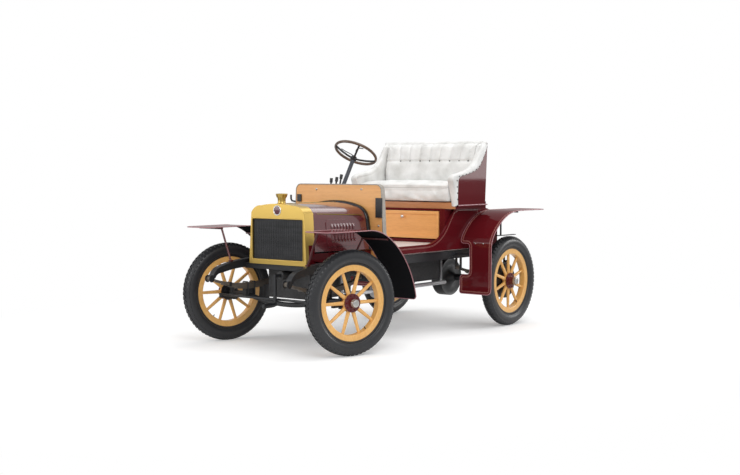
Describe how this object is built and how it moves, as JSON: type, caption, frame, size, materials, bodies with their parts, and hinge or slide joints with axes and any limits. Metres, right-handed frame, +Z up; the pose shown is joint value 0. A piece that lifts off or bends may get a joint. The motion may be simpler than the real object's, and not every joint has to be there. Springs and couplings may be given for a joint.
{
  "type": "brass era car",
  "caption": "Open two-seat car of the brass era with wood-spoked wheels, arched brass radiator, sweeping fenders and a buttoned white seat.",
  "frame": {"origin": "on the ground at the middle of the car's length and width", "axes": "+X forward, +Y to the car's left, +Z up"},
  "size_m": [2.7461, 1.4204, 1.4431],
  "materials": {
    "tyre": "satin",
    "spring_steel": "satin",
    "burgundy": "gloss",
    "wheel_wood": "varnished",
    "oak": "varnished",
    "wheel_rim_wood": "varnished",
    "black_iron": "satin",
    "cast_iron": "matte",
    "pipe_steel": "satin",
    "brass": "polished",
    "core_black": "matte",
    "light_floor": "matte",
    "white_leather": "satin"
  },
  "bodies": {
    "chassis": {"frame_rails": "black_iron", "cross_members": "black_iron", "front_axle": "black_iron", "rear_axle": "black_iron", "front_springs": "spring_steel", "rear_springs": "spring_steel", "engine_block": "cast_iron", "gearbox": "cast_iron", "exhaust": "pipe_steel", "radiator_shell": "brass", "radiator_core": "core_black", "bonnet_hinge": "brass", "side_aprons": "burgundy", "dashboard": "oak", "floor_boards": "light_floor", "body_sides": "burgundy", "rear_deck": "burgundy", "seat_box": "burgundy", "seat_board": "oak", "seat_tub": "burgundy", "seat_back": "white_leather", "arm_pads": "white_leather", "seat_cushion": "white_leather", "front_fenders": "burgundy", "rear_fenders": "burgundy", "fender_irons": "black_iron", "steering_column": "black_iron", "side_levers": "black_iron"},
    "bonnet_left_body": {"bonnet_left": "burgundy"},
    "bonnet_right_body": {"bonnet_right": "burgundy"},
    "locker_door_body": {"locker_door": "oak"},
    "starting_crank_body": {"starting_crank": "black_iron"},
    "steering_wheel_body": {"steering_wheel": "wheel_rim_wood"},
    "knuckle_left_body": {"knuckle_left": "black_iron"},
    "knuckle_right_body": {"knuckle_right": "black_iron"},
    "track_rod_body": {"track_rod": "black_iron"},
    "wheel_front_left": {"tyre_front_left": "tyre", "rim_front_left": "wheel_wood", "wood_wheel_front_left": "wheel_wood", "hub_front_left": "burgundy"},
    "wheel_front_right": {"tyre_front_right": "tyre", "rim_front_right": "wheel_wood", "wood_wheel_front_right": "wheel_wood", "hub_front_right": "burgundy"},
    "wheel_rear_left": {"tyre_rear_left": "tyre", "rim_rear_left": "wheel_wood", "wood_wheel_rear_left": "wheel_wood", "hub_rear_left": "burgundy"},
    "wheel_rear_right": {"tyre_rear_right": "tyre", "rim_rear_right": "wheel_wood", "wood_wheel_rear_right": "wheel_wood", "hub_rear_right": "burgundy"}
  },
  "joints": [
    {"name": "steer_left", "type": "hinge", "parent": "chassis", "child": "knuckle_left_body", "pos_m": [0.9735, 0.516, 0.35], "axis": [0, 0, 1], "range_deg": [-9.7, 40.3]},
    {"name": "steer_right", "type": "hinge", "parent": "chassis", "child": "knuckle_right_body", "pos_m": [0.9735, -0.516, 0.35], "axis": [0, 0, 1], "range_deg": [-9.7, 40.3]},
    {"name": "track_rod_turn", "type": "hinge", "parent": "knuckle_left_body", "child": "track_rod_body", "pos_m": [1.06031, 0.49225, 0.3373], "axis": [0, 0, 1], "range_deg": [-40.3, 9.7]},
    {"name": "steering_wheel_turn", "type": "hinge", "parent": "chassis", "child": "steering_wheel_body", "pos_m": [-0.0675, -0.22, 1.347], "axis": [-0.5254, 0, 0.8509], "range_deg": [-58.2, 241.8]},
    {"name": "wheel_spin_front_left", "type": "hinge", "parent": "knuckle_left_body", "child": "wheel_front_left", "pos_m": [0.99171, 0.58255, 0.35], "axis": [0.2639, 0.9646, 0], "continuous": true},
    {"name": "wheel_spin_front_right", "type": "hinge", "parent": "knuckle_right_body", "child": "wheel_front_right", "pos_m": [0.95529, -0.58255, 0.35], "axis": [0.2639, 0.9646, 0], "continuous": true},
    {"name": "wheel_spin_rear_left", "type": "hinge", "parent": "chassis", "child": "wheel_rear_left", "pos_m": [-0.9765, 0.585, 0.35], "axis": [0, 1, 0], "continuous": true},
    {"name": "wheel_spin_rear_right", "type": "hinge", "parent": "chassis", "child": "wheel_rear_right", "pos_m": [-0.9765, -0.585, 0.35], "axis": [0, 1, 0], "continuous": true},
    {"name": "bonnet_left_lift", "type": "hinge", "parent": "chassis", "child": "bonnet_left_body", "pos_m": [0.71, 0.012, 0.988], "axis": [1, 0, 0], "range_deg": [0, 80]},
    {"name": "bonnet_right_lift", "type": "hinge", "parent": "chassis", "child": "bonnet_right_body", "pos_m": [0.71, -0.012, 0.988], "axis": [-1, 0, 0], "range_deg": [0, 80]},
    {"name": "locker_door_drop", "type": "hinge", "parent": "chassis", "child": "locker_door_body", "pos_m": [-0.3925, 0, 0.701], "axis": [0, 1, 0], "range_deg": [0, 85]},
    {"name": "starting_crank_turn", "type": "hinge", "parent": "chassis", "child": "starting_crank_body", "pos_m": [1.05, 0, 0.5], "axis": [1, 0, 0], "continuous": true}
  ],
  "couplings": [
    {"joint": "steer_right", "follows": "steer_left", "ratio": 1},
    {"joint": "track_rod_turn", "follows": "steer_left", "ratio": -1},
    {"joint": "steering_wheel_turn", "follows": "steer_left", "ratio": 6}
  ]
}
